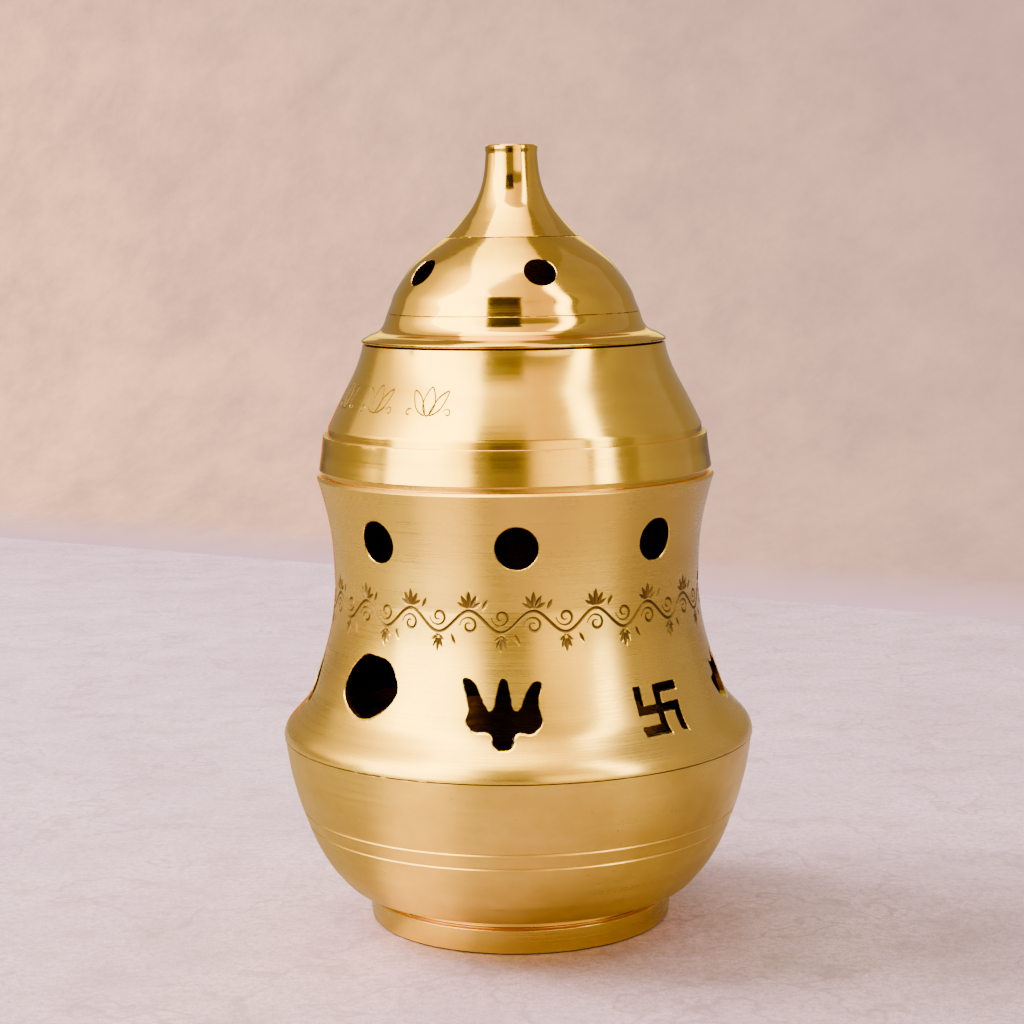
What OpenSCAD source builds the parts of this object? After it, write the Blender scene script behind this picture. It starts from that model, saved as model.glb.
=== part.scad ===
// Covered brass oil lamp in the shape of a kalash: oil bowl, wick stand, pierced wind shield,
// shoulder cover with a hanging cup, and a pierced lid with a spout. Every piece is turned about Z.

/* [Oil bowl] */
// Outside diameter of the bowl's rim
rim_d = 138; // [132:1:144]
// Height of the bowl's rim above the floor
rim_z = 55.3; // [52:0.1:58]
// Diameter of the foot ring at its top edge
foot_d = 90; // [86:1:92]
// Height of the foot ring
foot_h = 7.7; // [6:0.1:8.5]
// Wall of the cast bowl
bowl_wall = 2; // [1.6:0.1:2.4]

/* [Wind shield] */
// Outside diameter of the shield at its waist
waist_d = 106.6; // [104:0.2:108]
// Height of the waist above the floor
waist_z = 99; // [95:1:101]
// Outside diameter of the shield's top lip
lip_d = 115.8; // [114:0.2:118]
// Height of the top of the lip above the floor
lip_z = 131.9; // [130:0.1:133]
// Wall of the shield, the shoulder and the lid
wall = 1.5; // [1.3:0.1:1.7]
// Number of round vents below the lip
vent_count = 8; // [4:1:8]
// Diameter of a vent
vent_d = 12; // [8:0.5:13]
// Height of the vents above the floor
vent_z = 116.8; // [114:0.1:118]
// Height of the trident motif above the floor
motif_z = 72.5; // [71:0.5:75]

/* [Shoulder] */
// Height of the upright band
band_h = 10.2; // [9:0.1:11]
// Diameter of the band at its lower edge
band_d = 114.4; // [113:0.2:115]
// Diameter of the shoulder's mouth, outside
mouth_d = 87.8; // [86:0.2:89]
// Height of the shoulder's mouth above the floor
mouth_z = 169.5; // [167:0.5:172]

/* [Lid] */
// Diameter where the dome is brazed to the lid's rim
dome_d = 73.2; // [70:0.2:74]
// Height of the dome, from the rim's joint to the spout's joint
dome_h = 21.6; // [20:0.1:23]
// Diameter of the spout's foot
spout_foot_d = 38.6; // [36:0.2:40]
// Height of the spout
spout_h = 26.2; // [24:0.1:28]
// Diameter of the spout just under its lip
spout_d = 14.8; // [14:0.1:16]
// Diameter of a hole in the dome
dome_hole_d = 9.2; // [7:0.1:10]

/* [Wick stand] */
// Diameter of the stand's foot
stand_d = 36; // [30:1:40]
// Outside diameter of the wick tube
tube_d = 8; // [7:0.5:9]
// Diameter of the wick
wick_d = 4.6; // [3.6:0.2:4.8]
// Height of the wick's tip above the bowl's floor
wick_h = 41; // [36:1:42]

/* [Hidden] */
$fn = 96;

satin_brass = [0.80, 0.62, 0.32];
matte_brass = [0.83, 0.64, 0.34];
bright_brass = [0.90, 0.73, 0.38];
cotton = [0.95, 0.93, 0.88];

rim_r = rim_d / 2;
waist_r = waist_d / 2;
lip_r = lip_d / 2;
band_r = band_d / 2;
mouth_r = mouth_d / 2;
dome_r = dome_d / 2;
play = 0.4;          // gap all round a piece that lifts out
reach = 100;         // length of a cutter, past every wall

// Under the bowl a short neck stands on the foot ring
neck_r = foot_d / 2 - 1.7;
neck_h = 2.6;
neck_w = 3;
belly_z = foot_h + neck_h;
floor_z = belly_z + bowl_wall;
score_heights = [30.2, 34.6];

// The nine sawn motifs: the turn from the front, the lift above motif_z, and the shape
motifs = [[-84, 0.5, "drop"], [-46, 3.9, "oval"], [-4, 0, "trident"], [41, -2, "swastika"],
          [80, 0, "lotus"], [119, 3.9, "oval"], [158, 0, "trident"], [198, 0, "lotus"],
          [246, 0.5, "drop"]];

// The spigot on the bowl's rim that centres the shield
spigot_h = 2.2;
spigot_r = rim_r - 3.9;
spigot_w = 1.8;

// The lip's bore, and the ring that sits in it
bore_r = lip_r - 2.7;
bore_h = 5.5;
band_gap = 1.5;      // open groove between the lip and the band
band_z = lip_z + band_gap;
band_top_z = band_z + band_h;
band_top_r = band_r - 1.3;

// The shoulder's mouth and the cup that hangs in it
dome_foot_r = band_top_r - 1.3;
socket_h = 2.5;      // how far the dome stands down into the band
ledge_z = mouth_z - 3.5;
ledge_r = mouth_r - 3.7;
ledge_w = 2;
seat_r = mouth_r - 1.6;
cup_depth = 14;
cup_wall = 1;

// The lid's levels
flange_h = 1.7;
joint_z = mouth_z + 8.9;
spout_z = joint_z + dome_h;
top_z = spout_z + spout_h;
dome_hole_z = joint_z + 0.56 * dome_h;
dome_hole_turns = [-57.5, 14.5, 106, 198];
dome_hole_tilt = 37; // the drill stands square to the dome's slope

// The wick stand
stand_t = 1.6;
tube_h = 33;
bore_d = wick_d + 2 * play;
dish_z = floor_z + 26;
dish_r = 12;

function mix(a, b, t) = a + (b - a) * t;

// An outline from point a to point b, where each pair is a share of the way across and up
function between(a, b, shares) = [for (s = shares) [mix(a[0], b[0], s[0]), mix(a[1], b[1], s[1])]];

// A point of the smooth curve through p1 and p2, with the neighbours p0 and p3
function on_curve(p0, p1, p2, p3, t) =
    0.5 * (2 * p1 + (p2 - p0) * t
           + (2 * p0 - 5 * p1 + 4 * p2 - p3) * t * t
           + (3 * p1 - p0 - 3 * p2 + p3) * t * t * t);

// An open smooth curve through the points p, in steps of 1/n between neighbours
function smooth(p, n = 3) =
    let (last = len(p) - 1)
    concat([for (i = [0 : last - 1], k = [0 : n - 1])
                on_curve(p[max(i - 1, 0)], p[i], p[i + 1], p[min(i + 2, last)], k / n)],
           [p[last]]);

// A closed smooth curve through the points p
function smooth_loop(p, n = 2) =
    let (c = len(p))
    [for (i = [0 : c - 1], k = [0 : n - 1])
        on_curve(p[(i + c - 1) % c], p[i], p[(i + 1) % c], p[(i + 2) % c], k / n)];

function backward(p) = [for (i = [len(p) - 1 : -1 : 0]) p[i]];

// The inner side of a wall t thick, whose outer side runs upward through the points p
function inset(p, t) =
    [for (i = [0 : len(p) - 1])
        let (run = p[min(i + 1, len(p) - 1)] - p[max(i - 1, 0)])
        p[i] + t / norm(run) * [-run[1], run[0]]];

// A shell of revolution between an outer and an inner outline, both running upward
module turned(outer, inner) {
    rotate_extrude() polygon(concat(outer, backward(inner)));
}

// Places a cutter on the wall: it runs outward, turned from the front towards +X
module facing(turn, height) {
    rotate([0, 0, turn]) translate([0, 0, height]) rotate([90, 0, 0]) children();
}

// Places a cutter across the wall at a radius, its axis raised by tilt above the horizon
module square_on(turn, radius, height, tilt) {
    rotate([0, 0, turn]) translate([0, -radius, height]) rotate([90 - tilt, 0, 0]) children();
}

// ---- Oil bowl --------------------------------------------------------------------------------

belly_shape = [[0, 0], [0.20, 0.006], [0.32, 0.03], [0.45, 0.11], [0.55, 0.185], [0.68, 0.32],
               [0.775, 0.46], [0.86, 0.60], [0.94, 0.78], [1, 1]];
function belly() = smooth(between([neck_r, belly_z], [rim_r, rim_z], belly_shape), 3);
function belly_r(height) = lookup(height, [for (p = belly()) [p[1], p[0]]]);

// A ring with a V section that cuts a line into the bowl's side
module scored_line(height) {
    depth = 0.4;
    v = 2;
    r = belly_r(height);
    rotate_extrude()
        polygon([[r - depth, height], [r + v, height + v - depth], [r + v, height - v + depth]]);
}

module foot_ring() {
    top_r = foot_d / 2;
    foot_w = 4;
    color(satin_brass)
        rotate_extrude() polygon([
            [top_r - foot_w, 0], [top_r - 1.4, 0], [top_r - 0.8, 0.5],
            [top_r, foot_h - 0.5], [top_r - 0.5, foot_h], [top_r - foot_w, foot_h]]);
}

module oil_bowl() {
    outer = belly();
    inner = [for (p = inset(outer, bowl_wall)) if (p[1] > floor_z + 1 && p[1] < rim_z - 3) p];
    color(matte_brass)
        difference() {
            rotate_extrude() polygon(concat(
                [[0, belly_z], [neck_r - neck_w, belly_z], [neck_r - neck_w, foot_h], [neck_r, foot_h]],
                outer,
                [[spigot_r, rim_z], [spigot_r, rim_z + spigot_h - 0.4], [spigot_r - 0.4, rim_z + spigot_h],
                 [spigot_r - spigot_w, rim_z + spigot_h], [spigot_r - spigot_w, rim_z - 2]],
                backward(inner),
                [[neck_r - 2, floor_z], [0, floor_z]]));
            for (height = score_heights)
                scored_line(height);
        }
}

// ---- Wick stand ------------------------------------------------------------------------------

module stand_foot() {
    notch_d = 7;
    color(satin_brass)
        difference() {
            translate([0, 0, floor_z]) cylinder(d = stand_d, h = stand_t);
            for (turn = [0 : 90 : 270])
                rotate([0, 0, turn]) translate([stand_d / 2, 0, floor_z - 1])
                    cylinder(d = notch_d, h = stand_t + 2);
        }
}

module wick_tube() {
    oil_hole_d = 4;
    foot = floor_z + stand_t;
    color(satin_brass)
        difference() {
            translate([0, 0, foot]) cylinder(d = tube_d, h = tube_h - stand_t);
            translate([0, 0, foot - 1]) cylinder(d = bore_d, h = tube_h + 2);
            for (turn = [45, 135])
                rotate([0, 0, turn]) translate([0, 0, foot + 4]) rotate([90, 0, 0])
                    cylinder(d = oil_hole_d, h = reach, center = true);
        }
}

module drip_dish() {
    dish_h = 3;
    sheet = 1;
    tube_r = tube_d / 2;
    outer = smooth([[tube_r, dish_z], [8, dish_z + 0.2], [dish_r - 1, dish_z + 1.2],
                    [dish_r, dish_z + dish_h]]);
    inner = smooth([[tube_r, dish_z + sheet], [8 - 0.1, dish_z + sheet + 0.2],
                    [dish_r - 1.9, dish_z + sheet + 1], [dish_r - sheet, dish_z + dish_h]]);
    color(satin_brass) turned(outer, inner);
}

module cotton_wick() {
    tip = 5;
    foot = floor_z + stand_t + 0.4;
    color(cotton)
        rotate_extrude() polygon([
            [0, foot], [wick_d / 2, foot], [wick_d / 2, floor_z + wick_h - tip],
            [wick_d / 2 - 0.5, floor_z + wick_h - 1], [0, floor_z + wick_h]]);
}

// ---- Wind shield -----------------------------------------------------------------------------

flare_shape = [[0, 0], [0.006, 0.025], [0.04, 0.064], [0.12, 0.108], [0.32, 0.185], [0.50, 0.272],
               [0.64, 0.405], [0.80, 0.585], [0.93, 0.78], [1, 1]];
neck_shape = [[0, 0], [0.10, 0.38], [0.33, 0.62], [0.72, 0.86], [1, 1]];
function flare() = smooth(between([rim_r + 0.2, rim_z], [waist_r, waist_z], flare_shape), 2);
function shield_neck() = smooth(between([waist_r, waist_z], [lip_r, lip_z - 0.7], neck_shape), 2);

module oval_cut() {
    polygon(smooth_loop([
        [-4.4, 8.2], [0.6, 8.6], [5.8, 7.6], [9, 4.4], [10.9, 0], [9, -4],
        [4.4, -7.4], [-0.8, -8.5], [-5.6, -7], [-9.8, -4.2], [-10.9, -0.9], [-9.2, 4]]));
}

module trident_cut() {
    polygon(smooth_loop([
        [-11.2, 8.2], [-9.8, 9], [-7.4, 7], [-5.6, 2.8], [-4, 0.4], [-2.6, 1.4], [-1.8, 5.4],
        [-0.8, 8.6], [0.6, 8.6], [1.7, 5.2], [2.5, 1.5], [3.6, 0.5], [4.8, 1.5], [6.2, 5.2],
        [8, 7.9], [10.2, 7.5], [9.4, 2.6], [10.5, -2.6], [8, -5.2], [4.6, -5], [3.3, -6],
        [3, -7.8], [1.6, -9], [-1, -9.1], [-2.7, -7.9], [-3, -6.2], [-4.4, -4.9], [-8.2, -4.8],
        [-10.2, -2.4], [-9.4, 0.4], [-10, 3.8]]));
}

// The Hindu sign of good fortune, with its arms turned clockwise
module swastika_cut() {
    w = 8;
    h = 6.5;
    a = 1.2;
    polygon([
        [-a, a], [-a, h], [w, h], [w, h - 2 * a], [a, h - 2 * a],
        [a, a], [w, a], [w, -h], [w - 2 * a, -h], [w - 2 * a, -a],
        [a, -a], [a, -h], [-w, -h], [-w, 2 * a - h], [-a, 2 * a - h],
        [-a, -a], [-w, -a], [-w, h], [2 * a - w, h], [2 * a - w, a]]);
}

module lotus_cut() {
    polygon(smooth_loop([
        [0, 9], [2.8, 4.6], [6.4, 6.2], [6.2, 2], [9.4, 0.6], [6, -4], [0, -6],
        [-6, -4], [-9.4, 0.6], [-6.2, 2], [-6.4, 6.2], [-2.8, 4.6]]));
}

module drop_cut() {
    polygon(smooth_loop([[0, 9], [3.4, 3.4], [5, -1.6], [3.2, -6], [0, -7.4],
                         [-3.2, -6], [-5, -1.6], [-3.4, 3.4]]));
}

module motif_cut(kind) {
    if (kind == "oval") oval_cut();
    if (kind == "trident") trident_cut();
    if (kind == "swastika") swastika_cut();
    if (kind == "lotus") lotus_cut();
    if (kind == "drop") drop_cut();
}

module wind_shield() {
    outer = concat(flare(), [for (p = shield_neck()) if (p[1] > waist_z + 1) p]);
    inner_all = inset(outer, wall);
    inner = [for (p = inner_all)
                if (p[1] > rim_z + spigot_h + 1.5 && p[1] < lip_z - bore_h - 0.5) p];
    color(satin_brass)
        difference() {
            turned(
                concat(outer, [[lip_r - 0.6, lip_z]]),
                concat([[spigot_r + play, rim_z], [spigot_r + play, rim_z + spigot_h + 0.4]], inner,
                       [[bore_r, lip_z - bore_h], [bore_r, lip_z]]));
            for (i = [0 : vent_count - 1])
                facing(i * 360 / vent_count, vent_z) cylinder(d = vent_d, h = reach);
            for (m = motifs)
                facing(m[0], motif_z + m[1]) linear_extrude(reach) motif_cut(m[2]);
        }
}

// ---- Shoulder --------------------------------------------------------------------------------

module shoulder_band() {
    plug_r = bore_r - play;
    seat_out = bore_r + 0.8;
    inner_r = plug_r - wall;
    color(satin_brass)
        rotate_extrude() polygon([
            [inner_r, lip_z - 4.5], [plug_r - 0.4, lip_z - 4.5], [plug_r, lip_z - 4.1],
            [plug_r, lip_z], [seat_out, lip_z], [seat_out, band_z],
            [band_r - 0.3, band_z], [band_r, band_z + 0.4],
            [mix(band_r, band_top_r, 0.5), mix(band_z, band_top_z, 0.45)],
            [band_top_r, band_top_z - 0.3], [band_top_r - 0.3, band_top_z],
            [dome_foot_r, band_top_z], [dome_foot_r, band_top_z - socket_h],
            [inner_r, band_top_z - socket_h]]);
}

shoulder_shape = [[0, 0], [0.18, 0.166], [0.35, 0.315], [0.52, 0.46], [0.70, 0.61],
                  [0.843, 0.753], [0.955, 0.902], [1, 1]];

module shoulder_dome() {
    skirt_top = band_top_z + 2.4;
    outer = concat([[dome_foot_r, band_top_z - socket_h]],
                   smooth(between([dome_foot_r - 0.3, skirt_top], [mouth_r, mouth_z], shoulder_shape)));
    inner = [for (p = inset(outer, wall)) if (p[1] > skirt_top && p[1] < ledge_z - ledge_w - 2) p];
    color(satin_brass)
        turned(outer,
               concat([[dome_foot_r - wall, band_top_z - socket_h]], inner,
                      [[ledge_r + 2, ledge_z - ledge_w - 1], [ledge_r, ledge_z - ledge_w],
                       [ledge_r, ledge_z], [seat_r, ledge_z], [seat_r, mouth_z]]));
}

module dhoop_cup() {
    rim_out = seat_r - play;
    cup_r = ledge_r - play;
    base_z = ledge_z + cup_wall - cup_depth;
    outer = smooth([[cup_r - 11, base_z], [cup_r - 4, base_z + 1.6], [cup_r - 1, base_z + 6],
                    [cup_r, ledge_z]]);
    color(satin_brass)
        rotate_extrude() polygon(concat(
            [[0, base_z]], outer,
            [[rim_out, ledge_z], [rim_out, ledge_z + cup_wall], [cup_r - cup_wall, ledge_z + cup_wall]],
            backward([for (p = inset(outer, cup_wall)) if (p[1] < ledge_z - 1) p]),
            [[0, base_z + cup_wall]]));
}

// ---- Lid -------------------------------------------------------------------------------------

rim_shape = [[0.35, 0.19], [0.60, 0.28], [0.76, 0.42], [0.887, 0.65], [1, 1]];
dome_shape = [[0, 0], [0.07, 0.13], [0.15, 0.28], [0.29, 0.47], [0.47, 0.66], [0.73, 0.84], [1, 1]];
spout_shape = [[0, 0], [0.145, 0.065], [0.286, 0.13], [0.413, 0.195], [0.637, 0.324],
               [0.798, 0.454], [0.904, 0.588], [0.965, 0.74], [1, 0.93]];
function lid_dome_line() = smooth(between([dome_r, joint_z], [spout_foot_d / 2, spout_z], dome_shape));

module lid_rim() {
    flange_r = mouth_r + 0.2;
    flare = smooth(between([flange_r, mouth_z + flange_h - 0.2], [dome_r, joint_z], rim_shape));
    plug_r = seat_r - play;
    plug_in = plug_r - wall;
    plug_z = ledge_z + cup_wall + 0.4;
    color(bright_brass)
        turned(
            concat([[plug_r, plug_z], [plug_r, mouth_z], [flange_r - 0.4, mouth_z],
                    [flange_r, mouth_z + 0.4], [flange_r, mouth_z + flange_h - 0.5],
                    [flange_r - 0.5, mouth_z + flange_h]], flare),
            [[plug_in, plug_z], [plug_in - 0.6, mouth_z + flange_h - 0.6], [dome_r - 0.3, mouth_z + 4],
             [dome_r - wall, joint_z]]);
}

module lid_dome() {
    outer = lid_dome_line();
    hole_r = lookup(dome_hole_z, [for (p = outer) [p[1], p[0]]]);
    drill_l = 16;
    color(bright_brass)
        difference() {
            turned(outer,
                   concat([[dome_r - wall, joint_z]],
                          [for (p = inset(outer, wall)) if (p[1] > joint_z + 1 && p[1] < spout_z - wall) p],
                          [[spout_foot_d / 2 - 1.6, spout_z - 1.1], [spout_foot_d / 2 - 2, spout_z]]));
            for (turn = dome_hole_turns)
                square_on(turn, hole_r, dome_hole_z, dome_hole_tilt)
                    cylinder(d = dome_hole_d, h = drill_l, center = true);
        }
}

module lid_spout() {
    foot_r = spout_foot_d / 2;
    bead = 0.25;
    spout_wall = 1.4;
    outer = smooth(between([foot_r, spout_z], [spout_d / 2, top_z], spout_shape));
    inner = [for (p = inset(outer, spout_wall)) if (p[1] > spout_z + 1 && p[1] < top_z - 2) p];
    color(bright_brass)
        turned(
            concat(outer, [[spout_d / 2 + bead, top_z - 1.5], [spout_d / 2 + bead, top_z - 0.8],
                           [spout_d / 2 - 0.4, top_z]]),
            concat([[foot_r - 2, spout_z]], inner, [[spout_d / 2 - spout_wall, top_z]]));
}

foot_ring();
oil_bowl();
stand_foot();
wick_tube();
drip_dish();
cotton_wick();
wind_shield();
shoulder_band();
shoulder_dome();
dhoop_cup();
lid_rim();
lid_dome();
lid_spout();
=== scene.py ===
"""Looks of the covered brass oil lamp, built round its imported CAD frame.

Outlines are in millimetres, as (radius, height) pairs, and become metres when a mesh is made.
The axis is +Z through the origin, and the front is the side that faces -Y.
"""
import math

import bpy
import numpy as np
from mathutils import Matrix, Vector, geometry


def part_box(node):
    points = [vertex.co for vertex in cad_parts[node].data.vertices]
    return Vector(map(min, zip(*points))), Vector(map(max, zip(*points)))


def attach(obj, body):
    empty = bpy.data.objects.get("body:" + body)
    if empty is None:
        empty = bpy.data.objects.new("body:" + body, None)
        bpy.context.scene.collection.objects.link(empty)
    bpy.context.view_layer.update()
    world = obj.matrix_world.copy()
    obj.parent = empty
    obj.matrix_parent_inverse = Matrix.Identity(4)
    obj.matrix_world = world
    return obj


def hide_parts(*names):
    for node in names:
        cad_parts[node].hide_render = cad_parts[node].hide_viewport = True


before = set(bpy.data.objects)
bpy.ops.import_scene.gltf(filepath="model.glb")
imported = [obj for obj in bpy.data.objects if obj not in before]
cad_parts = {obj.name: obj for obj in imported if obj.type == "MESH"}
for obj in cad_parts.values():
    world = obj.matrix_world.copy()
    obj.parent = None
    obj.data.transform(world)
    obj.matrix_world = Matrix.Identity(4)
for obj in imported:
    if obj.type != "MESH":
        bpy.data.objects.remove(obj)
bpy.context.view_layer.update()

MM = 0.001


# ---- Levels and radii, from the frame ----

def low(node):
    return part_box(node)[0].z / MM


def high(node):
    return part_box(node)[1].z / MM


def radius(node):
    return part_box(node)[1].x / MM


WALL = 1.5
PLAY = 0.4
RIM_R, RIM_Z = radius("oil_bowl"), low("wind_shield")
FOOT_R, FOOT_H = radius("foot_ring"), high("foot_ring")
NECK_R = FOOT_R - 1.7
BELLY_Z = FOOT_H + 2.6
FLOOR_Z = low("stand_foot")
SPIGOT_R, SPIGOT_TOP = RIM_R - 3.9, high("oil_bowl")
WAIST_R, WAIST_Z = 53.3, 99.0
LIP_R, LIP_Z = 57.9, high("wind_shield")
BORE_R, BORE_H = LIP_R - 2.7, 5.5
BAND_R, BAND_TOP_Z = radius("shoulder_band"), high("shoulder_band")
BAND_Z = BAND_TOP_Z - 10.2
BAND_TOP_R = BAND_R - 1.3
SKIRT_R = BAND_TOP_R - 1.3
SOCKET_Z = low("shoulder_dome")
MOUTH_R, MOUTH_Z = 43.9, high("shoulder_dome")
LEDGE_R, LEDGE_Z, SEAT_R = MOUTH_R - 3.7, MOUTH_Z - 3.5, MOUTH_R - 1.6
CUP_Z = low("dhoop_cup")
DOME_R, JOINT_Z = radius("lid_dome"), low("lid_dome")
SPOUT_FOOT_R, SPOUT_Z, TOP_Z = radius("lid_spout"), low("lid_spout"), high("lid_spout")
SPOUT_R = 7.4
STAND_R, STAND_TOP = 18.0, high("stand_foot")
TUBE_R, TUBE_TOP = radius("wick_tube"), high("wick_tube")
DISH_R, DISH_Z = radius("drip_dish"), low("drip_dish")
WICK_Z, WICK_TOP = low("cotton_wick"), high("cotton_wick")


# ---- Outlines ----

def between(a, b, shares):
    """Points from a to b, where each pair is a share of the way across and of the way up."""
    return [(a[0] + (b[0] - a[0]) * x, a[1] + (b[1] - a[1]) * y) for x, y in shares]


def smooth(points, steps=8, closed=False):
    """A smooth curve through the points, with steps to each stretch between neighbours."""
    p = np.array(points, float)
    count = len(p)
    stretches = count if closed else count - 1
    out = []
    for i in range(stretches):
        near = (i - 1, i, i + 1, i + 2)
        a, b, c, d = (p[k % count if closed else min(max(k, 0), count - 1)] for k in near)
        for t in np.arange(steps) / steps:
            out.append(0.5 * (2 * b + (c - a) * t + (2 * a - 5 * b + 4 * c - d) * t ** 2
                              + (3 * b - a - 3 * c + d) * t ** 3))
    if not closed:
        out.append(p[-1])
    return [tuple(q) for q in out]


def inset(points, t):
    """The inner side of a wall t thick, whose outer side runs upward through the points."""
    out = []
    for i, (r, z) in enumerate(points):
        a, b = points[max(i - 1, 0)], points[min(i + 1, len(points) - 1)]
        dr, dz = b[0] - a[0], b[1] - a[1]
        n = math.hypot(dr, dz)
        out.append((r - t * dz / n, z + t * dr / n))
    return out


def within(points, z0, z1):
    return [p for p in points if z0 < p[1] < z1]


def eased(points, ease, closed=True, corner_deg=20, arc=4):
    """The outline with its corners rounded by ease, and a point close by on each side of a corner."""
    p = [np.array(q, float) for q in points]
    n = len(p)
    out = []
    for i in range(n):
        if not closed and i in (0, n - 1):
            out.append(p[i])
            continue
        back, fore = p[i - 1] - p[i], p[(i + 1) % n] - p[i]
        lb, lf = np.linalg.norm(back), np.linalg.norm(fore)
        if lb < 1e-6 or lf < 1e-6:
            continue
        back, fore = back / lb, fore / lf
        turn = math.pi - math.acos(np.clip(back @ fore, -1, 1))
        if turn < math.radians(corner_deg):
            out.append(p[i])
            continue
        reach = min(ease * math.tan(turn / 2), 0.4 * lb, 0.4 * lf)
        start, end = p[i] + back * reach, p[i] + fore * reach
        if lb > 4 * reach:
            out.append(p[i] + back * 1.6 * reach)
        for t in np.arange(arc + 1) / arc:
            out.append((1 - t) ** 2 * start + 2 * t * (1 - t) * p[i] + t ** 2 * end)
        if lf > 4 * reach:
            out.append(p[i] + fore * 1.6 * reach)
    return out


def filled(points, step, closed=True):
    """The outline with long straight stretches cut into pieces no longer than step."""
    n = len(points)
    out = []
    for i in range(n if closed else n - 1):
        a, b = np.array(points[i], float), np.array(points[(i + 1) % n], float)
        parts = max(1, math.ceil(np.linalg.norm(b - a) / step))
        out += [a + (b - a) * k / parts for k in range(parts)]
    if not closed:
        out.append(np.array(points[-1], float))
    return out


BELLY = smooth(between((NECK_R, BELLY_Z), (RIM_R, RIM_Z), [
    (0, 0), (0.20, 0.006), (0.32, 0.03), (0.45, 0.11), (0.55, 0.185), (0.68, 0.32),
    (0.775, 0.46), (0.86, 0.60), (0.94, 0.78), (1, 1)]))
FLARE = smooth(between((RIM_R + 0.2, RIM_Z), (WAIST_R, WAIST_Z), [
    (0, 0), (0.006, 0.025), (0.04, 0.064), (0.12, 0.108), (0.32, 0.185), (0.50, 0.272),
    (0.64, 0.405), (0.80, 0.585), (0.93, 0.78), (1, 1)]))
SHIELD_NECK = smooth(between((WAIST_R, WAIST_Z), (LIP_R, LIP_Z - 0.7), [
    (0, 0), (0.10, 0.38), (0.33, 0.62), (0.72, 0.86), (1, 1)]))
SHIELD = FLARE + within(SHIELD_NECK, WAIST_Z + 0.5, LIP_Z)
SHOULDER = smooth(between((SKIRT_R - 0.3, BAND_TOP_Z + 2.4), (MOUTH_R, MOUTH_Z), [
    (0, 0), (0.18, 0.166), (0.35, 0.315), (0.52, 0.46), (0.70, 0.61), (0.843, 0.753),
    (0.955, 0.902), (1, 1)]))
LID_SIDE = smooth(
    between((MOUTH_R + 0.2, MOUTH_Z + 1.5), (DOME_R, JOINT_Z), [
        (0.35, 0.19), (0.60, 0.28), (0.76, 0.42), (0.887, 0.65)])
    + between((DOME_R, JOINT_Z), (SPOUT_FOOT_R, SPOUT_Z), [
        (0, 0), (0.065, 0.13), (0.137, 0.28), (0.285, 0.47), (0.47, 0.66), (0.73, 0.84), (1, 1)]))
LID_FLARE = [p for p in LID_SIDE if p[1] <= JOINT_Z + 1e-6]
DOME = [p for p in LID_SIDE if p[1] >= JOINT_Z - 1e-6]
SPOUT = smooth(between((SPOUT_FOOT_R, SPOUT_Z), (SPOUT_R, TOP_Z), [
    (0, 0), (0.145, 0.065), (0.286, 0.13), (0.413, 0.195), (0.637, 0.324), (0.798, 0.454),
    (0.904, 0.588), (0.965, 0.74), (1, 0.93)]))


def seamed(points, foot=False, top=False, deep=0.12):
    """An upward outline that turns in a little at its foot or its top, where it meets its neighbour."""
    out = list(points)
    if foot:
        r, z = out[0]
        turned_in = [(r - deep, z), (radius_at(points, z + deep), z + deep)]
        out = turned_in + [p for p in out if p[1] > z + 2 * deep]
    if top:
        r, z = out[-1]
        turned_in = [(radius_at(points, z - deep), z - deep), (r - deep, z)]
        out = [p for p in out if p[1] < z - 2 * deep] + turned_in
    return out


def radius_at(outline, z):
    """The outline's radius at each height z, for an outline that runs upward."""
    r, h = np.array(outline, float).T
    return np.interp(z, h, r)


# ---- Meshes ----

def ripple(angle, z, seed, size):
    """A smooth wave round the axis and up it, from -1 to 1, about size millimetres long."""
    rng = np.random.default_rng(seed)
    total = np.zeros(np.broadcast(angle, z).shape)
    waves = 9
    for _ in range(waves):
        turns = rng.integers(3, max(4, int(300 / size)))
        total += np.sin(turns * angle + z * rng.uniform(-2, 2) / size + rng.uniform(0, 2 * math.pi))
    return total / math.sqrt(waves) / 1.5


def new_object(name, verts, faces):
    mesh = bpy.data.meshes.new(name)
    mesh.from_pydata([tuple(v) for v in verts], [], faces)
    mesh.validate()
    mesh.update()
    obj = bpy.data.objects.new(name, mesh)
    bpy.context.scene.collection.objects.link(obj)
    return obj


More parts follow.
